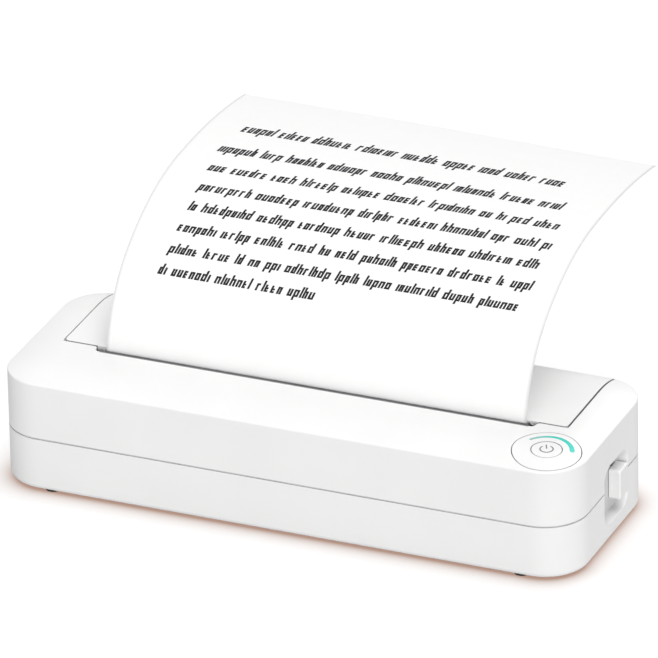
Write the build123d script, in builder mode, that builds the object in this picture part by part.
from build123d import *

import os
from math import acos, asin, atan, atan2, cos, degrees, hypot, pi, radians, sin, sqrt, tan

os.makedirs("parts", exist_ok=True)

# Portable A4 thermal printer. Millimetres, +Z up, front at -Y, right end at +X.
# The origin is on the desk, under the middle of the case.

# ---------------------------------------------------------------- case shell
case_depth = 101.0          # along Y
case_height = 59.0          # desk to the top
end_gap = 3.4               # motor to the left end wall, which sets the length
front_space = 43.3          # platen axis behind the front face
headroom = 13.5             # platen axis under the top
hinge_space = 9.8           # roll tray to the rear face
corner_radius = 21.0        # of the plan
foot_height = 1.2           # what a foot stands proud of the underside
lower_height = 26.5         # underside to the parting line
crown_rise = 3.4            # the top swells by this above the walls
crown_width = 20.0          # and does it over this much of its rim
wall = 2.4
floor_wall = 2.2
roof = 2.2
base_fillet = 2.5
rim_fillet = 0.9
parting_groove = 0.4        # half its height
parting_depth = 0.8

# ---------------------------------------------------------------- lid
lid_inset = 18.2            # its side edges, in from the ends
lid_ahead = 1.8             # its front edge, ahead of the platen axis
lid_gap = 0.8               # groove round the lid
lid_corner = 2.6
lid_skirt = 2.2             # side walls under the lid
skirt_depth = 5.8
lip_gap = 1.6               # between the lid's rear wall and the lower case
lip_chamfer = 1.0
hinge_back = 4.0            # hinge axis in from the rear face
hinge_up = 5.8              # hinge axis above the parting line
hinge_pin_d = 3.0
hinge_inset = 8.8           # each hinge's middle, in from the lid's edge
ear_width = 5.0
ear_radius = 3.2
knuckle_radius = 2.9
knuckle_inner = 4.0         # width of the knuckle nearer the middle
knuckle_outer = 3.0
hinge_side_gap = 0.3
hinge_notch_height = 9.1    # cut in the lid's lip round a hinge

# ---------------------------------------------------------------- paper
sheet_width = 210.0
sheet_thickness = 0.2
paper_centre = 1.6          # X of the middle of the paper path
roll_play = 1.8             # full roll to its tray
core_radius = 6.5
core_bore = 5.2
slot_side_gap = 5.0         # slot beyond the sheet, each end
slot_ahead = 7.1            # the slot's front edge, ahead of the platen axis
lip_thickness = 1.9         # dark lip along the slot's front edge
lip_height = 3.4
lip_beyond = 2.0            # lip beyond the sheet, each end
lip_sunk = 0.1              # under the top face
tail_wrap = 70.0            # degrees of sheet that still lie round the roll
# The sheet above the slot: radius and turn of each stretch, from the nip outwards.
sheet_bends = [(70.0, 20.5), (62.0, 33.0), (118.0, 32.0), (320.0, 14.5)]

# ---------------------------------------------------------------- print unit
platen_radius = 5.0
platen_overhang = 1.5       # rubber beyond the sheet, each end
platen_shaft_d = 5.0
arm_thickness = 3.0
arm_radius = 4.9
bush_wall = 0.9
head_height = 20.0
head_thickness = 3.5
head_below = 13.5           # its lower edge under the platen axis
head_overhang = 1.0
strip_thickness = 1.0
strip_height = 9.0
pivot_ahead = 8.8           # head pivot ahead of the platen axis
pivot_below = 11.5
head_pin_d = 3.0
steel = 1.6                 # folded steel of the print unit's frame
cheek_ahead = 4.7           # rear edge of its cheeks, ahead of the platen axis
web_ahead = 18.8            # front face of its web, ahead of the platen axis
frame_above = 6.5           # its top above the platen axis
window_width = 36.0
window_height = 14.0
window_pitch = 50.0
tab_width = 16.0            # tabs that are screwed to the floor
tab_length = 9.0
tab_pitch = 80.0
tab_screw = 5.5             # screw behind the web
frame_side_gap = 2.1        # cheek to the end of the rubber
arm_side_gap = 0.4          # lid arm to the cheek
spring_count = 3
spring_spacing = 70.0
spring_width = 8.0
leaf_thickness = 0.4

# ---------------------------------------------------------------- gear train
gear_module = 0.6
pressure_angle = 20.0
backlash = 0.14
addendum = 0.95             # in modules
dedendum = 1.25
platen_teeth = 14
idler_small_teeth = 14
idler_big_teeth = 40
motor_teeth = 12
platen_gear_width = 3.0
big_gear_width = 2.4
idler_bearing = -102.6      # degrees, from the platen to the idler
motor_over_port = 5.2023    # underside of the motor above the charging socket
axle_d = 3.0
gear_plate_thickness = 1.2
motor_d = 25.0
motor_length = 15.5
motor_shaft_d = 2.0
motor_spigot = 4.0          # radius of the round step that centres the motor
plate_ahead = 14.0          # gear plate beyond the motor axis, to the front
plate_behind = 11.0         # gear plate beyond the idler axis, to the rear

# ---------------------------------------------------------------- release
recess_width = 29.8         # opening of the finger recess, along Y
recess_height = 30.0
recess_y = 5.6
recess_z = 24.2
recess_corner = 7.5
recess_depth = 5.0
recess_flare = 12.0         # degrees
cup_wall = 1.8
lever_width = 10.3
lever_height = 15.0
lever_y = 13.4
lever_z = 23.7
lever_proud = 1.0
lever_travel = 4.0
stem_width = 5.6
stem_height = 10.4
slider_thickness = 2.1
slider_margin = 1.6         # slider beyond the thumb piece, each side
rail_width = 1.8
guide_thickness = 1.9
lever_pin_d = 3.0
lever_pin_z = 21.0
return_spring_radius = 2.0
return_spring_wire = 0.5
return_spring_length = 14.0
return_spring_turns = 6
latch_ahead = 8.3           # latch shaft ahead of the platen axis
latch_z = 21.0
latch_shaft_d = 4.0
latch_plate = 2.0
hook_above = 6.1            # its top above the platen axis
hook_ahead = 2.3            # the nose's tip, ahead of the platen axis
crank_plate = 2.5

# ---------------------------------------------------------------- controls
disc_inset = 19.0           # its axis, in from the right end
disc_ahead = 18.0           # its axis, back from the front face
disc_radius = 15.8
disc_groove = 0.5
disc_thickness = 2.5        # at its thinnest
disc_ledge = 1.6
button_radius = 7.05
button_gap = 0.3
button_travel = 0.5
arc_outer = 12.8            # light guide, outer radius
arc_inner = 10.9
arc_shift = 0.4             # moves the inner circle, so that the arc tapers
arc_start = 20.0
arc_sweep = 128.0
lamp_inset = 1.5            # degrees, from each end of the arc
board_thickness = 1.6
button_board_drop = 8.7     # its underside beneath the disc's seat
button_board_depth = 11.6
button_board_back = 7.6     # its rear edge beyond the disc's axis
button_board_right = 12.5   # its right edge beyond the disc's axis
peg_across = 10.2           # pegs of the button board, from the disc's axis
peg_forward = 2.0
peg_radius = 1.6

# ---------------------------------------------------------------- inside
tray_behind = 5.9           # front of the roll's space, behind the platen axis
tray_wall = 1.4
tray_end_wall = 1.8
tray_lift = 0.4             # tray over the floor
tray_drop = 10.0            # its top edge under the top of the case
guide_stop = 11.0698        # the tray's straight front ends this far before the nip
deck_inset = 4.3            # decks end this far inside the lid's edges
deck_behind = 13.2          # their front edge, behind the platen axis
deck_thickness = 1.6
hub_flange = 1.2
hub_pin_d = 6.0
post_inset_x = 11.5         # case screws, in from the ends
post_inset_y = 8.7          # and from the front and rear faces
post_radius = 3.4
screw_d = 3.0
screw_head_d = 5.0
screw_head = 2.0
screw_depth = 9.0
foot_inset_x = 26.7
foot_inset_y = 4.6
foot_length = 6.6
foot_width = 5.6
foot_recess = 0.8
cell_d = 18.4
battery_length = 131.0
battery_x = 48.0
battery_gap = 0.9           # cells to the front wall
battery_rib = 1.5
main_board_z = 7.0
main_board_length = 97.5
main_board_depth = 19.0
main_board_inset = 18.5     # its left edge, in from the left end
main_board_ahead = 4.0      # its front edge, back from the front face
tongue_length = 31.0        # part of the board that carries the socket
tongue_width = 10.0
tongue_inset = 3.0
boss_radius = 2.5
boss_inset = 7.5            # bosses under the board, in from its ends
usb_width = 9.0
usb_height = 3.2
usb_length = 7.4

# ---------------------------------------------------------------- clearances
running = 0.05              # shaft in its bearing, radial
clear = 0.3                 # between bodies that pass each other
snug = 0.05                 # between pieces of one body that fit together

# ---------------------------------------------------------------- worked out
base_z = foot_height
floor_z = base_z + floor_wall
parting_z = base_z + lower_height
top_z = case_height
edge_z = top_z - crown_rise
roof_z = top_z - roof
tray_top = top_z - tray_drop
back_y = case_depth / 2

platen_y = -back_y + front_space
platen_z = top_z - headroom
# The roll fills the space between the print unit and the hinges.
tray_inner = (back_y - hinge_space - tray_wall - platen_y - tray_behind) / 2
roll_radius = tray_inner - roll_play
roll_y = back_y - hinge_space - tray_wall - tray_inner
lid_front = platen_y - lid_ahead
slot_front = platen_y - slot_ahead
slot_fillet = (lid_front - lid_gap - slot_front) / 2 - 0.05
head_lowest = platen_z - head_below
head_pivot_y = platen_y - pivot_ahead
head_pivot_z = platen_z - pivot_below
frame_back = platen_y - cheek_ahead
frame_web_y = platen_y - web_ahead
frame_top = platen_z + frame_above
latch_y = platen_y - latch_ahead
hook_top = platen_z + hook_above
hook_nose = platen_y - hook_ahead
deck_front = platen_y + deck_behind

half_sheet = sheet_width / 2
half_slot = half_sheet + slot_side_gap
half_rubber = half_sheet + platen_overhang
cheek_in = half_rubber + frame_side_gap
cheek_out = cheek_in + steel
arm_in = cheek_out + arm_side_gap
arm_out = arm_in + arm_thickness
hook_in = arm_out + arm_side_gap
hook_out = hook_in + latch_plate
bush_radius = platen_shaft_d / 2 + bush_wall

roll_z = floor_z + tray_lift + tray_wall + tray_inner
nip_radius = platen_radius + clear + sheet_thickness / 2
wrap_radius = roll_radius + clear + sheet_thickness / 2
axis_span = hypot(roll_y - platen_y, roll_z - platen_z)
feed_angle = degrees(atan2(roll_z - platen_z, roll_y - platen_y)
                     - asin((wrap_radius - nip_radius) / axis_span))
feed_length = sqrt(axis_span**2 - (wrap_radius - nip_radius)**2)
tray_guide = feed_length - guide_stop
strip_face = platen_y - nip_radius - sheet_thickness / 2 - clear
head_back = strip_face - strip_thickness
head_front = head_back - head_thickness

platen_gear_out = paper_centre - hook_out - clear
platen_gear_in = platen_gear_out - platen_gear_width
big_gear_out = platen_gear_in - 2 * clear
gear_plate_x = big_gear_out - big_gear_width - 0.8
plate_outer = gear_plate_x - gear_plate_thickness
idler_span = gear_module * (platen_teeth + idler_small_teeth) / 2
idler_y = platen_y + idler_span * cos(radians(idler_bearing))
idler_z = platen_z + idler_span * sin(radians(idler_bearing))
motor_span = gear_module * (idler_big_teeth + motor_teeth) / 2
motor_z = main_board_z + board_thickness + usb_height + motor_over_port + motor_d / 2
motor_bearing = -180 + degrees(asin((idler_z - motor_z) / motor_span))  # from the idler
motor_y = idler_y + motor_span * cos(radians(motor_bearing))

# The case is as long as the works inside it need.
end_x = motor_length + end_gap + wall - plate_outer
case_length = 2 * end_x
lid_half = end_x - lid_inset
deck_half = lid_half - deck_inset
hinge_at = lid_half - hinge_inset
rear_inner_y = back_y - lid_skirt
lip_z = parting_z + lip_gap
hinge_y = back_y - hinge_back
hinge_z = parting_z + hinge_up
post_x = end_x - post_inset_x
post_y = back_y - post_inset_y
foot_x = end_x - foot_inset_x
foot_y = back_y - foot_inset_y
battery_y = -back_y + wall + battery_gap + cell_d / 2
board_start_x = -end_x + main_board_inset
board_front_y = -back_y + main_board_ahead
usb_y = board_front_y + main_board_depth + tongue_width / 2
tongue_x = -end_x + tongue_inset + tongue_length / 2

disc_x = end_x - disc_inset
disc_y = -back_y + disc_ahead
corner_offset = hypot(corner_radius - disc_inset, corner_radius - disc_ahead)
crown_radius = (crown_width**2 + crown_rise**2) / (2 * crown_rise)
disc_drop = (crown_width - corner_radius + corner_offset + disc_radius)**2 / (2 * crown_radius)
disc_seat = top_z - disc_drop - disc_thickness
button_board_z = disc_seat - button_board_drop

recess_floor_x = end_x - recess_depth
cup_back_x = recess_floor_x - cup_wall
slider_x = cup_back_x - clear - slider_thickness
guide_x = slider_x - clear - guide_thickness
slider_top = lever_z + lever_height / 2 - 0.2
crank_x = paper_centre + hook_out + 1.4
crank_reach = lever_y - latch_y


def across(x):
    """Plane square to the length of the printer: sketch X is depth, sketch Y is height."""
    return Plane.YZ.offset(x)


def involute(teeth, radius):
    """Involute of the pressure angle that a tooth flank has at this radius."""
    base = gear_module * teeth / 2 * cos(radians(pressure_angle))
    angle = acos(min(1.0, base / radius))
    return tan(angle) - angle


def flank(teeth, radius):
    """Half the angle of one tooth at this radius, straight down below the base circle."""
    pitch = gear_module * teeth / 2
    half = pi / (2 * teeth) - backlash / (2 * pitch)
    base = pitch * cos(radians(pressure_angle))
    return half + involute(teeth, pitch) - involute(teeth, max(radius, base))


def gear(teeth, bore_d, x, width, y, z, phase):
    """Spur gear across the printer at (y, z), with one tooth pointing at the phase angle."""
    pitch = gear_module * teeth / 2
    tip = pitch + addendum * gear_module
    root = pitch - dedendum * gear_module
    low = max(root, pitch * cos(radians(pressure_angle)))
    radii = [root - 0.3, low, (low + tip) / 2, tip]
    right = [(r * cos(flank(teeth, r)), -r * sin(flank(teeth, r))) for r in radii]
    left = [(u, -v) for u, v in right]
    with BuildSketch() as tooth:
        with BuildLine():
            Line(left[0], right[0])
            Line(right[0], right[1])
            ThreePointArc(right[1], right[2], right[3])
            ThreePointArc(right[3], (tip, 0), left[3])
            ThreePointArc(left[3], left[2], left[1])
            Line(left[1], left[0])
        make_face()
    with BuildPart() as wheel:
        with BuildSketch(Plane(origin=(x, y, z), x_dir=(0, 1, 0), z_dir=(1, 0, 0))):
            Circle(root)
            with PolarLocations(0, teeth, start_angle=phase):
                add(tooth.sketch)
            Circle(bore_d / 2, mode=Mode.SUBTRACT)
        extrude(amount=width)
    return wheel.part


# ================================================================ case
# The whole shell is one solid first, and is parted at the parting line.
with BuildPart() as outer_form:
    with BuildSketch(Plane.XY.offset(base_z)):
        RectangleRounded(case_length, case_depth, corner_radius)
    extrude(amount=top_z - base_z)
    fillet(outer_form.faces().sort_by(Axis.Z)[0].edges(), base_fillet)
    # The crown is one arc, carried round the rim and cut away above.
    with BuildLine(Plane.XY.offset(edge_z)) as rim:
        FilletPolyline(
            (-end_x, -back_y), (end_x, -back_y), (end_x, back_y), (-end_x, back_y),
            radius=corner_radius, close=True)
    along = rim.wire() % 0
    with BuildSketch(Plane(origin=rim.wire() @ 0, x_dir=Axis.Z.direction.cross(along), z_dir=along)):
        with BuildLine():
            Line((0, 0), (-1, 0))
            Line((-1, 0), (-1, crown_rise + 1))
            Line((-1, crown_rise + 1), (crown_width, crown_rise + 1))
            Line((crown_width, crown_rise + 1), (crown_width, crown_rise))
            TangentArc((crown_width, crown_rise), (0, 0), tangent=(-1, 0))
        make_face()
    sweep(path=rim.wire(), mode=Mode.SUBTRACT)
    rim_edges = outer_form.edges().filter_by(lambda edge: abs(edge.center().Z - edge_z) < 0.01)
    fillet(rim_edges, rim_fillet)

with BuildPart() as shell:
    add(outer_form.part)
    with BuildSketch(Plane.XY.offset(floor_z)):
        RectangleRounded(case_length - 2 * wall, case_depth - 2 * wall, corner_radius - wall)
    extrude(amount=edge_z - roof - floor_z, mode=Mode.SUBTRACT)
    with BuildSketch(Plane.XY.offset(edge_z - roof)):
        RectangleRounded(case_length - 2 * wall, case_depth - 2 * wall, corner_radius - wall)
    extrude(amount=crown_rise, taper=degrees(atan((crown_width - 2 * wall) / crown_rise)),
            mode=Mode.SUBTRACT)
    # The cup of the finger recess, and the recess itself, which flares outwards.
    flare = recess_depth * tan(radians(recess_flare))
    with BuildSketch(across(cup_back_x)):
        with Locations((recess_y, recess_z)):
            RectangleRounded(recess_width + 2 * cup_wall, recess_height + 2 * cup_wall,
                             recess_corner + cup_wall)
    extrude(amount=end_x - wall / 2 - cup_back_x)
    with BuildSketch(across(recess_floor_x)):
        with Locations((recess_y, recess_z)):
            RectangleRounded(recess_width - 2 * flare, recess_height - 2 * flare, recess_corner - flare)
    extrude(amount=recess_depth, taper=-recess_flare, mode=Mode.SUBTRACT)
    # The slot that the lever's stem slides in.
    with BuildSketch(across(cup_back_x - 1)):
        with Locations((lever_y, lever_z + lever_travel / 2)):
            RectangleRounded(stem_width + 2 * clear, stem_height + lever_travel + 2 * clear, 1.0)
    extrude(amount=cup_wall + 2, mode=Mode.SUBTRACT)
    # A fine groove marks the parting line.
    with BuildSketch(Plane.XY.offset(parting_z - parting_groove)):
        RectangleRounded(case_length + 2, case_depth + 2, corner_radius + 1)
        RectangleRounded(case_length - 2 * parting_depth, case_depth - 2 * parting_depth,
                         corner_radius - parting_depth, mode=Mode.SUBTRACT)
    extrude(amount=2 * parting_groove, mode=Mode.SUBTRACT)

post_places = [(x, y) for x in (-post_x, post_x) for y in (-post_y, post_y)]
foot_places = [(x, y) for x in (-foot_x, foot_x) for y in (-foot_y, foot_y)]
hinge_places = [-hinge_at, hinge_at]
screw_seat_z = floor_z + screw_head

with BuildPart() as base_tray:
    add(shell.part)
    split(bisect_by=Plane.XY.offset(parting_z), keep=Keep.BOTTOM)
    # Posts for the four screws that hold the case together.
    with BuildSketch(Plane.XY.offset(floor_z - 0.5)):
        with Locations(*post_places):
            Circle(post_radius + 1)
    extrude(amount=screw_seat_z + floor_wall - floor_z + 0.5)
    with BuildSketch(Plane.XY.offset(floor_z)):
        with Locations(*post_places):
            Circle(post_radius)
    extrude(amount=parting_z - floor_z)
    with Locations(*[(x, y, base_z) for x, y in post_places]):
        with Locations(Rotation(180, 0, 0)):
            CounterBoreHole(screw_d / 2 + clear, screw_head_d / 2 + clear,
                            screw_seat_z - base_z, depth=parting_z - base_z + 1)
    # Shallow recesses for the feet.
    with BuildSketch(Plane.XY.offset(base_z - 1)):
        with Locations(*foot_places):
            SlotOverall(foot_length + 2 * snug, foot_width + 2 * snug)
    extrude(amount=foot_recess + 1, mode=Mode.SUBTRACT)
    # Hinge knuckles, two on each side, standing on the floor.
    for side in (-1, 1):
        for start, width in ((-hinge_side_gap - ear_width / 2 - knuckle_inner, knuckle_inner),
                             (ear_width / 2 + hinge_side_gap, knuckle_outer)):
            near = side * (hinge_at + start)
            with BuildSketch(across(near)):
                with Locations((hinge_y, hinge_z)):
                    Circle(knuckle_radius)
                with Locations((hinge_y, floor_z - 0.5)):
                    Rectangle(2 * knuckle_radius, hinge_z - floor_z + 0.5,
                              align=(Align.CENTER, Align.MIN))
                with Locations((hinge_y, hinge_z)):
                    Circle(hinge_pin_d / 2 + snug, mode=Mode.SUBTRACT)
            extrude(amount=side * width)
    # Port for the charging socket in the left end.
    with BuildSketch(across(-end_x - 1)):
        with Locations((usb_y, main_board_z + board_thickness + usb_height / 2)):
            SlotOverall(usb_width + 2 * clear, usb_height + 2 * clear)
    extrude(amount=wall + 2, mode=Mode.SUBTRACT)
    # Bosses that the main board rests on, and ribs beside the battery.
    with BuildSketch(Plane.XY.offset(floor_z - 0.5)):
        with Locations((board_start_x + main_board_length / 2, board_front_y + main_board_depth / 2)):
            with GridLocations(main_board_length - 2 * boss_inset, main_board_depth / 2, 2, 2):
                Circle(boss_radius)
        with Locations((-end_x + tongue_inset + 2 * boss_radius, usb_y)):
            Circle(boss_radius)
    extrude(amount=main_board_z - floor_z + 0.5)
    with BuildSketch(Plane.XY.offset(floor_z - 0.5)):
        with Locations((battery_x, battery_y)):
            with GridLocations(0, cell_d + 2 * snug + battery_rib + 0.1, 1, 2):
                Rectangle(battery_length - 20, battery_rib)
    extrude(amount=8)
base_tray.part.label = "base_tray"
export_step(base_tray.part, "parts/base_tray.step")

# Block that the control disc's seat is cut in, no wider than the case is.
with BuildPart() as disc_cup:
    add(outer_form.part)
    with BuildSketch(Plane.XY.offset(disc_seat - disc_ledge)):
        with Locations((disc_x, disc_y)):
            Circle(disc_radius + disc_groove + disc_ledge)
    extrude(amount=roof_z - disc_seat + disc_ledge, mode=Mode.INTERSECT)

lid_opening_half = lid_half + lid_gap
with BuildPart() as top_frame:
    add(shell.part)
    split(bisect_by=Plane.XY.offset(parting_z), keep=Keep.TOP)
    # Opening for the lid, with the paper slot as a bay in its front edge.
    with BuildSketch(Plane.XY.offset(parting_z - 1)) as opening:
        with Locations((0, lid_front - lid_gap)):
            Rectangle(2 * lid_opening_half, case_depth, align=(Align.CENTER, Align.MIN))
        with Locations((paper_centre, slot_front)):
            Rectangle(2 * half_slot, case_depth / 2, align=(Align.CENTER, Align.MIN))
        fillet(opening.vertices().filter_by(lambda v: v.Y < 0), slot_fillet)
    extrude(amount=top_z - parting_z + 2, mode=Mode.SUBTRACT)
    # Inner walls beside the opening.
    for side in (-1, 1):
        with BuildSketch(Plane.XY.offset(tray_top - deck_thickness)):
            with Locations((side * (lid_opening_half + wall / 4), (lid_front + back_y) / 2 - 2)):
                Rectangle(wall / 2, back_y - lid_front - 8)
        extrude(amount=roof_z - tray_top + deck_thickness + 0.4)
    # Bosses for the case screws.
    with BuildSketch(Plane.XY.offset(parting_z)):
        with Locations(*post_places):
            Circle(post_radius)
    extrude(amount=edge_z - roof - parting_z + 1)
    with Locations(*[(x, y, parting_z) for x, y in post_places]):
        with Locations(Rotation(180, 0, 0)):
            Hole(screw_d / 2 + snug, depth=screw_depth + 1)
    # Round seat for the control disc.
    add(disc_cup.part)
    with BuildSketch(Plane.XY.offset(disc_seat)):
        with Locations((disc_x, disc_y)):
            Circle(disc_radius + disc_groove)
    extrude(amount=top_z - disc_seat, mode=Mode.SUBTRACT)
    with BuildSketch(Plane.XY.offset(disc_seat - disc_ledge - 1)):
        with Locations((disc_x, disc_y)):
            Circle(disc_radius - disc_ledge)
    extrude(amount=disc_ledge + 2, mode=Mode.SUBTRACT)
top_frame.part.label = "top_frame"
export_step(top_frame.part, "parts/top_frame.step")

with BuildPart() as slot_lip:
    with BuildSketch(across(paper_centre - half_sheet - lip_beyond)):
        with Locations((slot_front, top_z - lip_sunk)):
            Rectangle(lip_thickness, lip_height, align=(Align.MIN, Align.MAX))
    extrude(amount=2 * (half_sheet + lip_beyond))
slot_lip.part.label = "slot_lip"
export_step(slot_lip.part, "parts/slot_lip.step")

with BuildPart() as case_screws:
    with Locations(*[(x, y, screw_seat_z) for x, y in post_places]):
        Cylinder(screw_head_d / 2, screw_head, align=(Align.CENTER, Align.CENTER, Align.MAX))
        Cylinder(screw_d / 2, parting_z + screw_depth - screw_seat_z,
                 align=(Align.CENTER, Align.CENTER, Align.MIN))
    fillet(case_screws.edges().group_by(Axis.Z)[0], 0.6)
case_screws.part.label = "case_screws"
export_step(case_screws.part, "parts/case_screws.step")

with BuildPart() as foot_pads:
    with BuildSketch(Plane.XY.offset(base_z + foot_recess)):
        with Locations(*foot_places):
            SlotOverall(foot_length, foot_width)
    extrude(amount=-(base_z + foot_recess))
    fillet(foot_pads.edges().group_by(Axis.Z)[0], 0.5)
foot_pads.part.label = "foot_pads"
export_step(foot_pads.part, "parts/foot_pads.step")

with BuildPart() as hinge_pins:
    for side in (-1, 1):
        start = hinge_at - ear_width / 2 - hinge_side_gap - knuckle_inner
        length = knuckle_inner + ear_width + knuckle_outer + 2 * hinge_side_gap
        with BuildSketch(across(side * start)):
            with Locations((hinge_y, hinge_z)):
                Circle(hinge_pin_d / 2)
        extrude(amount=side * length)
hinge_pins.part.label = "hinge_pins"
export_step(hinge_pins.part, "parts/hinge_pins.step")


# ================================================================ lid
crown_start = back_y - crown_width
skin_radius = crown_radius - roof
skin_edge_z = top_z - crown_radius + sqrt(skin_radius**2 - (rear_inner_y - crown_start)**2)

with BuildPart() as cover:
    add(outer_form.part)
    with BuildSketch(Plane.XY.offset(lip_z)) as lid_outline:
        with Locations((0, lid_front)):
            Rectangle(2 * lid_half, case_depth, align=(Align.CENTER, Align.MIN))
        fillet(lid_outline.vertices().filter_by(lambda v: v.Y < 0), lid_corner)
    extrude(amount=top_z, mode=Mode.INTERSECT)
    # Hollow underneath, parallel to the crown at the back.
    with BuildSketch(across(-lid_half + lid_skirt)):
        with BuildLine():
            Line((lid_front - 1, lip_z - 1), (lid_front - 1, roof_z))
            Line((lid_front - 1, roof_z), (crown_start, roof_z))
            TangentArc((crown_start, roof_z), (rear_inner_y, skin_edge_z), tangent=(1, 0))
            Line((rear_inner_y, skin_edge_z), (rear_inner_y, lip_z - 1))
            Line((rear_inner_y, lip_z - 1), (lid_front - 1, lip_z - 1))
        make_face()
    extrude(amount=2 * (lid_half - lid_skirt), mode=Mode.SUBTRACT)
    # Below the skirts only the rear wall goes on, down to the lip.
    with BuildSketch(across(-lid_half - 1)):
        with Locations((lid_front - 1, edge_z - skirt_depth + 1.2)):
            Rectangle(rear_inner_y - lid_front + 1, 60, align=(Align.MIN, Align.MAX))
    extrude(amount=2 * lid_half + 2, mode=Mode.SUBTRACT)
    chamfer(cover.edges().filter_by(Axis.X).sort_by(Axis.Z)[0:2].sort_by(Axis.Y)[-1], lip_chamfer)
    # Notches in the lip, where the hinge knuckles stand.
    with BuildSketch(Plane.XZ.offset(-rear_inner_y + 1)):
        for side in (-1, 1):
            near = hinge_at - ear_width / 2 - knuckle_inner - 2 * hinge_side_gap
            span = knuckle_inner + ear_width + knuckle_outer + 3 * hinge_side_gap
            with Locations((side * (near + span / 2), lip_z)):
                Rectangle(span, 2 * hinge_notch_height)
    extrude(amount=-lid_skirt - 2, mode=Mode.SUBTRACT)
    # Front wall behind the tear bar, between the two arms.
    with BuildSketch(across(paper_centre - arm_out)):
        with Locations((lid_front, platen_z + platen_radius + 0.8)):
            Rectangle(1.6, roof_z - platen_z - platen_radius - 0.6, align=(Align.MIN, Align.MIN))
    extrude(amount=2 * arm_out)
    # Arms that carry the platen, and the hinge ears.
    for side in (-1, 1):
        with BuildSketch(across(paper_centre + side * arm_in)):
            with Locations((platen_y, platen_z)):
                Circle(arm_radius)
            Polygon((platen_y + 0.5, platen_z - arm_radius + 0.6), (platen_y + arm_radius + 6.5, roof_z - 6),
                    (platen_y + arm_radius + 9, roof_z + 0.5), (lid_front, roof_z + 0.5),
                    (lid_front, roof_z - 5), (platen_y - arm_radius + 0.4, platen_z + 1.6), align=None)
            with Locations((platen_y, platen_z)):
                Circle(bush_radius + snug, mode=Mode.SUBTRACT)
        extrude(amount=side * arm_thickness)
        with BuildSketch(across(side * (hinge_at - ear_width / 2))):
            with Locations((hinge_y, hinge_z)):
                Circle(ear_radius)
            with Locations((hinge_y - ear_radius + 0.6, hinge_z)):
                Rectangle(rear_inner_y + 0.2 - hinge_y + ear_radius - 0.6,
                          lip_z + hinge_notch_height + 5 - hinge_z, align=(Align.MIN, Align.MIN))
            with Locations((hinge_y, hinge_z)):
                Circle(hinge_pin_d / 2 + running, mode=Mode.SUBTRACT)
        extrude(amount=side * ear_width)
    # Ribs under the skin.
    with BuildSketch(Plane.XY.offset(roof_z - 1.6)):
        with GridLocations(42, 0, 5, 1):
            with Locations((0, (lid_front + crown_start) / 2 + 1)):
                Rectangle(1.4, crown_start - lid_front - 1)
    extrude(amount=2.0)
cover.part.label = "cover"
export_step(cover.part, "parts/cover.step")

tear_top = top_z - 0.4
tear_half = half_rubber + 1.0
tooth_pitch = 2.4
tooth_height = 1.4
with BuildPart() as tear_bar:
    with BuildSketch(Plane.XZ.offset(-lid_front)):
        with Locations((paper_centre, tear_top - tooth_height)):
            Rectangle(2 * tear_half, 5.4, align=(Align.CENTER, Align.MAX))
        with Locations((paper_centre, tear_top - tooth_height - 0.01)):
            with GridLocations(tooth_pitch, 0, int(2 * tear_half / tooth_pitch), 1):
                Polygon((-tooth_pitch / 2, 0), (tooth_pitch / 2, 0), (0, tooth_height), align=None)
    extrude(amount=0.5)
tear_bar.part.label = "tear_bar"
export_step(tear_bar.part, "parts/tear_bar.step")

with BuildPart() as platen_bushes:
    for side in (-1, 1):
        with BuildSketch(across(paper_centre + side * (arm_in - arm_side_gap / 2))):
            with Locations((platen_y, platen_z)):
                Circle(bush_radius)
                Circle(platen_shaft_d / 2 + running, mode=Mode.SUBTRACT)
        extrude(amount=side * (arm_thickness + arm_side_gap / 2))
platen_bushes.part.label = "platen_bushes"
export_step(platen_bushes.part, "parts/platen_bushes.step")


# ================================================================ platen and gears
shaft_left = platen_gear_in - 0.6
shaft_right = paper_centre + hook_out + 0.8
with BuildPart() as platen_shaft:
    with BuildSketch(across(shaft_left)):
        with Locations((platen_y, platen_z)):
            Circle(platen_shaft_d / 2)
    extrude(amount=shaft_right - shaft_left)
    chamfer(platen_shaft.edges(), 0.4)
platen_shaft.part.label = "platen_shaft"
export_step(platen_shaft.part, "parts/platen_shaft.step")

with BuildPart() as platen_rubber:
    with BuildSketch(across(paper_centre - half_rubber)):
        with Locations((platen_y, platen_z)):
            Circle(platen_radius)
            Circle(platen_shaft_d / 2, mode=Mode.SUBTRACT)
    extrude(amount=2 * half_rubber)
platen_rubber.part.label = "platen_rubber"
export_step(platen_rubber.part, "parts/platen_rubber.step")

to_idler = idler_bearing
platen_gear = gear(platen_teeth, platen_shaft_d, platen_gear_in, platen_gear_width,
                   platen_y, platen_z, to_idler)
platen_gear.label = "platen_gear"
export_step(platen_gear, "parts/platen_gear.step")

half_space = 180 / idler_small_teeth
small_gear_end = platen_gear_out + 0.2
with BuildPart() as idler_gear:
    add(gear(idler_small_teeth, axle_d + 2 * running, big_gear_out, small_gear_end - big_gear_out,
             idler_y, idler_z, to_idler + 180 + half_space))
    add(gear(idler_big_teeth, axle_d + 2 * running, big_gear_out - big_gear_width, big_gear_width,
             idler_y, idler_z, motor_bearing))
idler_gear.part.label = "idler_gear"
export_step(idler_gear.part, "parts/idler_gear.step")

motor_pinion = gear(motor_teeth, motor_shaft_d, big_gear_out - big_gear_width, big_gear_width,
                    motor_y, motor_z, motor_bearing + 180 + 180 / motor_teeth)
motor_pinion.label = "motor_pinion"
export_step(motor_pinion, "parts/motor_pinion.step")

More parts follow.
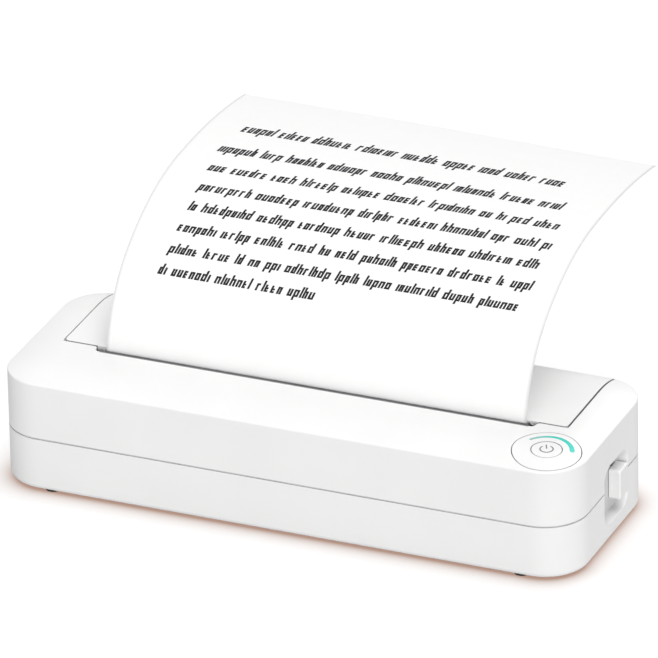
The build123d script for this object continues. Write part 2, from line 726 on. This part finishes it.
with BuildPart() as motor_shaft:
    with BuildSketch(across(gear_plate_x - 7)):
        with Locations((motor_y, motor_z)):
            Circle(motor_shaft_d / 2)
    extrude(amount=big_gear_out - gear_plate_x + 7)
motor_shaft.part.label = "motor_shaft"
export_step(motor_shaft.part, "parts/motor_shaft.step")

with BuildPart() as gear_plate:
    with BuildSketch(across(plate_outer)) as plate_outline:
        Polygon((motor_y - plate_ahead, motor_z - 8), (motor_y - plate_ahead, motor_z + 10),
                (motor_y - 6, motor_z + 15), (idler_y - 3, tray_top), (idler_y + plate_behind, tray_top),
                (idler_y + plate_behind, floor_z), (idler_y - 4, floor_z),
                (idler_y - 6, motor_z - plate_ahead), (motor_y - 6, motor_z - plate_ahead), align=None)
        fillet(plate_outline.vertices().filter_by(lambda v: v.Y > floor_z + 1), 2.0)
        with Locations((motor_y, motor_z)):
            Circle(motor_spigot + snug, mode=Mode.SUBTRACT)
        with Locations((idler_y, idler_z)):
            Circle(axle_d / 2 + snug, mode=Mode.SUBTRACT)
    extrude(amount=gear_plate_thickness)
    with BuildSketch(Plane.XY.offset(floor_z)):
        with Locations((gear_plate_x, idler_y - 3)):
            Rectangle(9, 12, align=(Align.MIN, Align.MIN))
    extrude(amount=gear_plate_thickness)
gear_plate.part.label = "gear_plate"
export_step(gear_plate.part, "parts/gear_plate.step")

with BuildPart() as idler_axle:
    for start, end, radius in ((plate_outer, small_gear_end + 0.9, axle_d / 2),
                               (gear_plate_x, gear_plate_x + 0.5, axle_d / 2 + 1.2),
                               (small_gear_end + 0.3, small_gear_end + 0.8, axle_d / 2 + 0.8)):
        with BuildSketch(across(start)):
            with Locations((idler_y, idler_z)):
                Circle(radius)
        extrude(amount=end - start)
idler_axle.part.label = "idler_axle"
export_step(idler_axle.part, "parts/idler_axle.step")

with BuildPart() as drive_motor:
    with BuildSketch(across(plate_outer)):
        with Locations((motor_y, motor_z)):
            Circle(motor_d / 2)
    extrude(amount=-motor_length)
    fillet(drive_motor.edges().group_by(Axis.X)[0], 1.2)
    with BuildSketch(across(plate_outer)):
        with Locations((motor_y, motor_z)):
            Circle(motor_spigot)
    extrude(amount=gear_plate_thickness + 0.2)
    with BuildSketch(across(plate_outer - 8)):
        with Locations((motor_y, motor_z)):
            Circle(motor_shaft_d / 2 + running)
    extrude(amount=10, mode=Mode.SUBTRACT)
drive_motor.part.label = "drive_motor"
export_step(drive_motor.part, "parts/drive_motor.step")


# ================================================================ print unit
with BuildPart() as head_frame:
    # Web across the printer, with lightening windows.
    with BuildSketch(Plane.XZ.offset(-frame_web_y)):
        with Locations((paper_centre, floor_z)):
            Rectangle(2 * cheek_out, frame_top - floor_z, align=(Align.CENTER, Align.MIN))
        with Locations((paper_centre, (floor_z + frame_top) / 2 - 8)):
            with GridLocations(window_pitch, 0, 4, 1):
                RectangleRounded(window_width, window_height, 3, mode=Mode.SUBTRACT)
    extrude(amount=-steel)
    for side in (-1, 1):
        with BuildSketch(across(paper_centre + side * cheek_in)):
            Polygon((frame_web_y, floor_z + 11), (frame_web_y, frame_top), (frame_back - 2, frame_top),
                    (frame_back, frame_top - 2), (frame_back, latch_z - 1), (latch_y, floor_z + 11),
                    align=None)
            with Locations((head_pivot_y, head_pivot_z)):
                Circle(head_pin_d / 2 + running, mode=Mode.SUBTRACT)
            with Locations((latch_y, latch_z)):
                Circle(latch_shaft_d / 2 + running, mode=Mode.SUBTRACT)
        extrude(amount=side * steel)
    # Tabs folded back along the floor.
    with BuildSketch(Plane.XY.offset(floor_z)):
        with Locations((paper_centre, frame_web_y)):
            with GridLocations(tab_pitch, 0, 3, 1):
                Rectangle(tab_width, tab_length, align=(Align.CENTER, Align.MIN))
                with Locations((0, tab_screw)):
                    Circle(screw_d / 2 + 2 * snug, mode=Mode.SUBTRACT)
    extrude(amount=steel)
head_frame.part.label = "head_frame"
export_step(head_frame.part, "parts/head_frame.step")

with BuildPart() as frame_screws:
    with BuildSketch(Plane.XY.offset(floor_z)):
        with Locations((paper_centre, frame_web_y + tab_screw)):
            with GridLocations(tab_pitch, 0, 3, 1):
                Circle(screw_d / 2)
    extrude(amount=steel)
    with BuildSketch(Plane.XY.offset(floor_z + steel)):
        with Locations((paper_centre, frame_web_y + tab_screw)):
            with GridLocations(tab_pitch, 0, 3, 1):
                Circle(screw_head_d / 2)
    extrude(amount=1.4)
    fillet(frame_screws.edges().group_by(Axis.Z)[-1], 0.5)
frame_screws.part.label = "frame_screws"
export_step(frame_screws.part, "parts/frame_screws.step")

head_half = half_sheet + head_overhang
with BuildPart() as heat_sink:
    with BuildSketch(across(paper_centre - head_half)):
        with Locations((head_front, head_lowest)):
            Rectangle(head_thickness, head_height, align=(Align.MIN, Align.MIN))
        # Cooling grooves in its front face.
        with Locations((head_front, head_lowest + head_height / 2 + 3)):
            with GridLocations(0, 2.4, 1, 5):
                Rectangle(2.4, 1.0, mode=Mode.SUBTRACT)
    extrude(amount=2 * head_half)
    for side in (-1, 1):
        with BuildSketch(across(paper_centre + side * (head_half - 1))):
            with Locations((head_pivot_y, head_pivot_z)):
                Circle(head_pin_d / 2)
        extrude(amount=side * (cheek_out - head_half + 1))
heat_sink.part.label = "heat_sink"
export_step(heat_sink.part, "parts/heat_sink.step")

with BuildPart() as thermal_strip:
    with BuildSketch(across(paper_centre - half_sheet)):
        with Locations((head_back, platen_z)):
            Rectangle(strip_thickness, strip_height, align=(Align.MIN, Align.CENTER))
    extrude(amount=2 * half_sheet)
thermal_strip.part.label = "thermal_strip"
export_step(thermal_strip.part, "parts/thermal_strip.step")

with BuildPart() as driver_cover:
    with BuildSketch(across(paper_centre - half_sheet + 5)):
        with Locations((head_back, head_lowest + 1)):
            Rectangle(1.4, 6.0, align=(Align.MIN, Align.MIN))
    extrude(amount=2 * half_sheet - 10)
driver_cover.part.label = "driver_cover"
export_step(driver_cover.part, "parts/driver_cover.step")

spring_foot_z = head_lowest - 4
spring_touch_z = head_lowest + head_height - 1.6
with BuildPart() as head_springs:
    with BuildSketch(across(paper_centre)) as leaf:
        with BuildLine() as bend:
            Line((frame_web_y + steel + leaf_thickness / 2, spring_foot_z),
                 (frame_web_y + steel + leaf_thickness / 2, spring_foot_z + 6))
            JernArc(bend.line @ 1, bend.line % 1, 9.0, -32)
            Line(bend.line @ 1, (head_front - clear - leaf_thickness, spring_touch_z - 1.2))
        trace(line_width=leaf_thickness)
    extrude(amount=spring_width / 2, both=True)
single_leaf = head_springs.part
with BuildPart() as head_springs:
    with GridLocations(spring_spacing, 0, spring_count, 1):
        add(single_leaf)
head_springs.part.label = "head_springs"
export_step(head_springs.part, "parts/head_springs.step")


# ================================================================ roll and its tray
front_bearing = feed_angle - 90
with BuildPart() as roll_tray:
    with BuildSketch(across(paper_centre - half_sheet - 0.8)) as trough:
        with BuildLine() as path:
            middle = tray_inner + tray_wall / 2
            Line((roll_y + middle, tray_top), (roll_y + middle, roll_z))
            CenterArc((roll_y, roll_z), middle, 0, front_bearing)
            Line(path.line @ 1, Vector(path.line @ 1) + Vector(path.line % 1) * tray_guide)
        trace(line_width=tray_wall)
    extrude(amount=2 * half_sheet + 1.6)
    for side in (-1, 1):
        inner = half_sheet + 0.8
        with BuildSketch(across(paper_centre + side * inner)) as end_wall:
            Polygon((roll_y + middle + tray_wall / 2, floor_z), (roll_y + middle + tray_wall / 2, tray_top),
                    (roll_y - roll_radius + 1, tray_top), (platen_y - 1.8, platen_z - 11),
                    (platen_y + 1, floor_z), align=None)
            with Locations((roll_y, roll_z)):
                Circle(hub_pin_d / 2 + 0.15, mode=Mode.SUBTRACT)
                Rectangle(hub_pin_d + 0.3, tray_top, align=(Align.CENTER, Align.MIN), mode=Mode.SUBTRACT)
        extrude(amount=side * tray_end_wall)
        # Decks beside the roll, which close the works from above.
        with BuildSketch(Plane.XY.offset(tray_top - deck_thickness)):
            deck_start = paper_centre * side + inner + tray_end_wall
            with Locations((side * (deck_start + deck_half) / 2, deck_front)):
                Rectangle(deck_half - deck_start + 0.4, roll_y + middle + tray_wall / 2 - deck_front,
                          align=(Align.CENTER, Align.MIN))
        extrude(amount=deck_thickness)
roll_tray.part.label = "roll_tray"
export_step(roll_tray.part, "parts/roll_tray.step")

with BuildPart() as roll_core:
    with BuildSketch(across(paper_centre - half_sheet)):
        with Locations((roll_y, roll_z)):
            Circle(core_radius)
            Circle(core_bore, mode=Mode.SUBTRACT)
    extrude(amount=sheet_width)
roll_core.part.label = "roll_core"
export_step(roll_core.part, "parts/roll_core.step")

with BuildPart() as paper_roll:
    with BuildSketch(across(paper_centre - half_sheet)):
        with Locations((roll_y, roll_z)):
            Circle(roll_radius)
            Circle(core_radius, mode=Mode.SUBTRACT)
    extrude(amount=sheet_width)
paper_roll.part.label = "paper_roll"
export_step(paper_roll.part, "parts/paper_roll.step")

hub_face = half_sheet + 0.8 - clear
with BuildPart() as roll_hubs:
    for side in (-1, 1):
        for start, end, radius in ((half_sheet - 12, half_sheet, core_bore - snug),
                                   (half_sheet, hub_face, core_radius + 4),
                                   (hub_face, half_sheet + 0.8 + tray_end_wall + 1, hub_pin_d / 2)):
            with BuildSketch(across(paper_centre + side * start)):
                with Locations((roll_y, roll_z)):
                    Circle(radius)
            extrude(amount=side * (end - start))
roll_hubs.part.label = "roll_hubs"
export_step(roll_hubs.part, "parts/roll_hubs.step")

with BuildPart() as paper_sheet:
    with BuildSketch(across(paper_centre - half_sheet)):
        with BuildLine() as inner_run:
            JernArc((platen_y - nip_radius, platen_z), (0, -1), nip_radius, 90 + feed_angle)
            Line(inner_run.line @ 1, Vector(inner_run.line @ 1) + Vector(inner_run.line % 1) * feed_length)
            JernArc(inner_run.line @ 1, inner_run.line % 1, wrap_radius, tail_wrap)
        trace(line_width=sheet_thickness)
        with BuildLine() as outer_run:
            start, heading = (platen_y - nip_radius, platen_z), (0, 1)
            for radius, turn in sheet_bends:
                stretch = JernArc(start, heading, radius, -turn)
                start, heading = stretch @ 1, stretch % 1
        trace(line_width=sheet_thickness)
    extrude(amount=sheet_width)
paper_sheet.part.label = "paper_sheet"
export_step(paper_sheet.part, "parts/paper_sheet.step")

with BuildPart() as paper_sensor:
    seat = path.line @ 1
    with BuildSketch(Plane(origin=(paper_centre + 24, seat.X, seat.Y), x_dir=(1, 0, 0),
                           z_dir=(0, cos(radians(feed_angle - 90)), sin(radians(feed_angle - 90))))):
        with Locations((0, -5)):
            RectangleRounded(8, 5, 0.6)
    extrude(amount=tray_wall / 2 + 2.6)
    with BuildSketch(Plane(origin=(paper_centre + 24, seat.X, seat.Y), x_dir=(1, 0, 0),
                           z_dir=(0, cos(radians(feed_angle - 90)), sin(radians(feed_angle - 90))))):
        with Locations((0, -5)):
            Rectangle(12, 12)
    extrude(amount=tray_wall / 2, mode=Mode.SUBTRACT)
paper_sensor.part.label = "paper_sensor"
export_step(paper_sensor.part, "parts/paper_sensor.step")


# ================================================================ release
with BuildPart() as release_lever:
    # Thumb piece in the recess.
    with BuildSketch(across(recess_floor_x + clear)):
        with Locations((lever_y, lever_z)):
            RectangleRounded(lever_width, lever_height, 1.2)
    extrude(amount=recess_depth - clear + lever_proud)
    fillet(release_lever.faces().sort_by(Axis.X)[-1].edges(), 0.8)
    with BuildSketch(across(cup_back_x - clear)):
        with Locations((lever_y, lever_z)):
            Rectangle(stem_width, stem_height)
    extrude(amount=cup_wall + 2 * clear)
    with BuildSketch(across(slider_x)):
        with Locations((lever_y, lever_z - 0.2)):
            Rectangle(lever_width + 2 * slider_margin, lever_height)
    extrude(amount=slider_thickness)
    # Tab that the return spring presses on, and the pin that lifts the crank.
    with BuildSketch(Plane.XY.offset(slider_top)):
        with Locations((slider_x, lever_y)):
            Rectangle(3.4, 4.6, align=(Align.CENTER, Align.CENTER))
    extrude(amount=-2.0)
    with BuildSketch(across(crank_x - 0.5)):
        with Locations((lever_y, lever_pin_z)):
            Circle(lever_pin_d / 2)
    extrude(amount=slider_x - crank_x + 1.0)
release_lever.part.label = "release_lever"
export_step(release_lever.part, "parts/release_lever.step")

rail_y = lever_width / 2 + slider_margin + clear
spring_top = slider_top + return_spring_length
with BuildPart() as lever_guide:
    with BuildSketch(across(guide_x)):
        with Locations((lever_y, (recess_z - recess_height / 2 + spring_top) / 2 + 1)):
            Rectangle(2 * (rail_y + rail_width), spring_top - recess_z + recess_height / 2)
        with Locations((lever_y, lever_pin_z - lever_pin_d)):
            Rectangle(5.6, spring_top - lever_pin_z + lever_pin_d, align=(Align.CENTER, Align.MIN),
                      mode=Mode.SUBTRACT)
    extrude(amount=guide_thickness)
    with BuildSketch(across(guide_x + guide_thickness)):
        with Locations((lever_y, recess_z)):
            with GridLocations(2 * rail_y + rail_width, 0, 2, 1):
                Rectangle(rail_width, recess_height)
    extrude(amount=cup_back_x - guide_x - guide_thickness)
    with BuildSketch(Plane.XY.offset(spring_top)):
        with Locations((guide_x, lever_y)):
            Rectangle(cup_back_x - guide_x - clear, 2 * (rail_y + rail_width),
                      align=(Align.MIN, Align.CENTER))
    extrude(amount=1.5)
lever_guide.part.label = "lever_guide"
export_step(lever_guide.part, "parts/lever_guide.step")

with BuildPart() as lever_spring:
    with BuildLine():
        coil = Helix(return_spring_length / return_spring_turns - 0.08, return_spring_length - 2 * clear,
                     return_spring_radius, center=(slider_x, lever_y, slider_top + clear))
    with BuildSketch(Plane(origin=coil @ 0, z_dir=coil % 0)):
        RegularPolygon(return_spring_wire / 2, 6)
    sweep(path=coil, is_frenet=True)
lever_spring.part.label = "lever_spring"
export_step(lever_spring.part, "parts/lever_spring.step")

latch_left = paper_centre - hook_out
latch_right = crank_x + crank_plate + 0.5
with BuildPart() as latch_shaft:
    with BuildSketch(across(latch_left)):
        with Locations((latch_y, latch_z)):
            Circle(latch_shaft_d / 2)
    extrude(amount=latch_right - latch_left)
latch_shaft.part.label = "latch_shaft"
export_step(latch_shaft.part, "parts/latch_shaft.step")

with BuildPart() as latch_hooks:
    for side in (-1, 1):
        with BuildSketch(across(paper_centre + side * hook_in)) as hook_outline:
            with Locations((latch_y, latch_z)):
                Circle(latch_shaft_d / 2 + 2.2)
            Polygon((latch_y - 2.6, latch_z + 1), (latch_y - 0.8, hook_top - 1.4), (latch_y + 1.2, hook_top),
                    (hook_nose - 1.2, hook_top), (hook_nose, platen_z + platen_shaft_d / 2 + 0.8),
                    (latch_y + 3.4, platen_z + platen_shaft_d / 2 + 0.4),
                    (latch_y + 3.2, latch_z + 2), align=None)
            with Locations((latch_y, latch_z)):
                Circle(latch_shaft_d / 2, mode=Mode.SUBTRACT)
        extrude(amount=side * latch_plate)
latch_hooks.part.label = "latch_hooks"
export_step(latch_hooks.part, "parts/latch_hooks.step")

with BuildPart() as latch_crank:
    with BuildSketch(across(crank_x)) as crank_outline:
        with BuildLine():
            Line((latch_y, latch_z), (lever_y + 0.5, lever_pin_z))
        trace(line_width=6.0)
        with Locations((latch_y, latch_z)):
            Circle(latch_shaft_d / 2 + 2.2)
        with Locations((lever_y, lever_pin_z)):
            SlotCenterToCenter(4.0, 7.6)
            SlotCenterToCenter(3.0, lever_pin_d + 2 * clear, mode=Mode.SUBTRACT)
        with Locations((latch_y, latch_z)):
            Circle(latch_shaft_d / 2, mode=Mode.SUBTRACT)
    extrude(amount=crank_plate)
latch_crank.part.label = "latch_crank"
export_step(latch_crank.part, "parts/latch_crank.step")


# ================================================================ controls
disc_axis = (disc_x, disc_y)
reach = 2 * arc_outer
# The light guide's round ends: place and radius of each.
arc_tips = []
for tip_angle in (arc_start, arc_start + arc_sweep):
    tip_radius = (arc_outer - arc_inner + arc_shift * cos(radians(tip_angle))) / 2
    tip_reach = arc_outer - tip_radius
    arc_tips.append((disc_x + tip_reach * cos(radians(tip_angle)),
                     disc_y + tip_reach * sin(radians(tip_angle)), tip_radius))
arc_ends = [radians(arc_start), radians(arc_start + arc_sweep)]
arc_sector = [(0, 0), (reach * cos(arc_ends[0]), reach * sin(arc_ends[0])), (0, reach),
              (reach * cos(arc_ends[1]), reach * sin(arc_ends[1]))]
with BuildPart() as control_disc:
    add(outer_form.part)
    with BuildSketch(Plane.XY.offset(disc_seat)):
        with Locations(disc_axis):
            Circle(disc_radius)
    extrude(amount=top_z - disc_seat + 1, mode=Mode.INTERSECT)
    with BuildSketch(Plane.XY.offset(disc_seat - 1)):
        with Locations(disc_axis):
            Circle(button_radius + button_gap)
    extrude(amount=top_z - disc_seat + 2, mode=Mode.SUBTRACT)
    with BuildSketch(Plane.XY.offset(disc_seat - 1)) as arc_slot:
        with Locations(disc_axis):
            Circle(arc_outer)
        with Locations((disc_x - arc_shift, disc_y)):
            Circle(arc_inner, mode=Mode.SUBTRACT)
        with Locations(disc_axis):
            Polygon(*arc_sector, align=None, mode=Mode.INTERSECT)
        for tip_x, tip_y, tip_radius in arc_tips:
            with Locations((tip_x, tip_y)):
                Circle(tip_radius)
    extrude(amount=top_z - disc_seat + 2, mode=Mode.SUBTRACT)
    # Two pegs that carry the button board.
    with BuildSketch(Plane.XY.offset(button_board_z + board_thickness)):
        with Locations((disc_x - peg_across, disc_y - peg_forward),
                       (disc_x + peg_across, disc_y - peg_forward)):
            Circle(peg_radius)
    extrude(amount=disc_seat + disc_thickness / 2 - button_board_z - board_thickness)
control_disc.part.label = "control_disc"
export_step(control_disc.part, "parts/control_disc.step")

button_flange = 1.2
leg_radius = (arc_outer + arc_inner) / 2
lamp_places = [(disc_x + leg_radius * cos(radians(angle)), disc_y + leg_radius * sin(radians(angle)))
               for angle in (arc_start + lamp_inset, arc_start + arc_sweep - lamp_inset)]
with BuildPart() as power_button:
    add(outer_form.part)
    with BuildSketch(Plane.XY.offset(disc_seat - clear - 1.0)):
        with Locations(disc_axis):
            Circle(button_radius)
    extrude(amount=top_z - disc_seat + 3, mode=Mode.INTERSECT)
    fillet(power_button.edges().group_by(Axis.Z)[-1], 0.3)
    # Flange that keeps the button under the disc, and the stem down to its switch.
    with BuildSketch(Plane.XY.offset(disc_seat - clear - 1.0)):
        with Locations(disc_axis):
            Circle(button_radius + button_flange)
    extrude(amount=1.0)
    with BuildSketch(Plane.XY.offset(disc_seat - clear - 1.0)):
        with Locations(disc_axis):
            Circle(2.0)
    extrude(amount=-(disc_seat - clear - 1.0 - button_board_z - board_thickness - 3.6 - button_travel - 0.1))
power_button.part.label = "power_button"
export_step(power_button.part, "parts/power_button.step")

with BuildPart() as light_guide:
    add(outer_form.part)
    with BuildSketch(Plane.XY.offset(disc_seat)) as arc_body:
        with Locations(disc_axis):
            Circle(arc_outer - snug)
        with Locations((disc_x - arc_shift, disc_y)):
            Circle(arc_inner + snug, mode=Mode.SUBTRACT)
        with Locations(disc_axis):
            Polygon(*arc_sector, align=None, mode=Mode.INTERSECT)
        for tip_x, tip_y, tip_radius in arc_tips:
            with Locations((tip_x, tip_y)):
                Circle(tip_radius - snug)
    extrude(amount=top_z - disc_seat + 1, mode=Mode.INTERSECT)
    # Legs down to the lamps on the button board.
    with BuildSketch(Plane.XY.offset(disc_seat)):
        with Locations(*lamp_places):
            Circle(0.6)
    extrude(amount=-(disc_seat - button_board_z - board_thickness - 1.2))
light_guide.part.label = "light_guide"
export_step(light_guide.part, "parts/light_guide.step")

board_left = paper_centre + cheek_out + clear
board_right = disc_x + button_board_right
with BuildPart() as button_board:
    with BuildSketch(Plane.XY.offset(button_board_z)):
        with Locations(((board_left + board_right) / 2, disc_y + button_board_back - button_board_depth / 2)):
            RectangleRounded(board_right - board_left, button_board_depth, 1.5)
    extrude(amount=board_thickness)
    with Locations(*[(x, y, button_board_z + board_thickness) for x, y in lamp_places]):
        Box(2.4, 1.8, 1.0, align=(Align.CENTER, Align.CENTER, Align.MIN))
button_board.part.label = "button_board"
export_step(button_board.part, "parts/button_board.step")

with BuildPart() as tact_switch:
    with Locations((disc_x, disc_y, button_board_z + board_thickness)):
        Box(6.0, 6.0, 3.0, align=(Align.CENTER, Align.CENTER, Align.MIN))
    with Locations((disc_x, disc_y, button_board_z + board_thickness + 3.0)):
        Cylinder(1.7, 0.5, align=(Align.CENTER, Align.CENTER, Align.MIN))
tact_switch.part.label = "tact_switch"
export_step(tact_switch.part, "parts/tact_switch.step")


# ================================================================ power and electronics
with BuildPart() as battery_pack:
    # Two cells end to end in one shrink sleeve.
    with BuildSketch(across(battery_x - battery_length / 2)):
        with Locations((battery_y, floor_z + 0.1 + cell_d / 2)):
            Circle(cell_d / 2)
    extrude(amount=battery_length)
    fillet(battery_pack.edges(), 1.0)
battery_pack.part.label = "battery_pack"
export_step(battery_pack.part, "parts/battery_pack.step")

with BuildPart() as main_board:
    with BuildSketch(Plane.XY.offset(main_board_z)):
        with Locations((board_start_x, board_front_y)):
            Rectangle(main_board_length, main_board_depth, align=(Align.MIN, Align.MIN))
        with Locations((tongue_x, usb_y)):
            Rectangle(tongue_length, tongue_width)
    extrude(amount=board_thickness)
main_board.part.label = "main_board"
export_step(main_board.part, "parts/main_board.step")

with BuildPart() as board_chips:
    # Position along and across the board, then length, width and height.
    for along, behind, length, width, height in ((63.5, 9.5, 12, 12, 1.4), (41.5, 8.5, 9, 7, 1.2),
                                                 (81.5, 10.5, 6, 8, 5.0), (21.5, 9.5, 8, 8, 4.0),
                                                 (89.5, 6.5, 5, 9, 6.0)):
        with Locations((board_start_x + along, board_front_y + behind, main_board_z + board_thickness)):
            Box(length, width, height, align=(Align.CENTER, Align.CENTER, Align.MIN))
board_chips.part.label = "board_chips"
export_step(board_chips.part, "parts/board_chips.step")

with BuildPart() as usb_socket:
    with BuildSketch(across(-end_x + 0.6)):
        with Locations((usb_y, main_board_z + board_thickness + usb_height / 2)):
            SlotOverall(usb_width, usb_height)
            SlotOverall(usb_width - 0.7, usb_height - 0.7, mode=Mode.SUBTRACT)
    extrude(amount=usb_length)
    with BuildSketch(across(-end_x + 0.6 + usb_length - 1)):
        with Locations((usb_y, main_board_z + board_thickness + usb_height / 2)):
            SlotOverall(usb_width - 0.4, usb_height - 0.4)
    extrude(amount=1)
    with BuildSketch(across(-end_x + 1.6)):
        with Locations((usb_y, main_board_z + board_thickness + usb_height / 2)):
            Rectangle(6.7, 0.7)
    extrude(amount=usb_length - 1.5)
usb_socket.part.label = "usb_socket"
export_step(usb_socket.part, "parts/usb_socket.step")
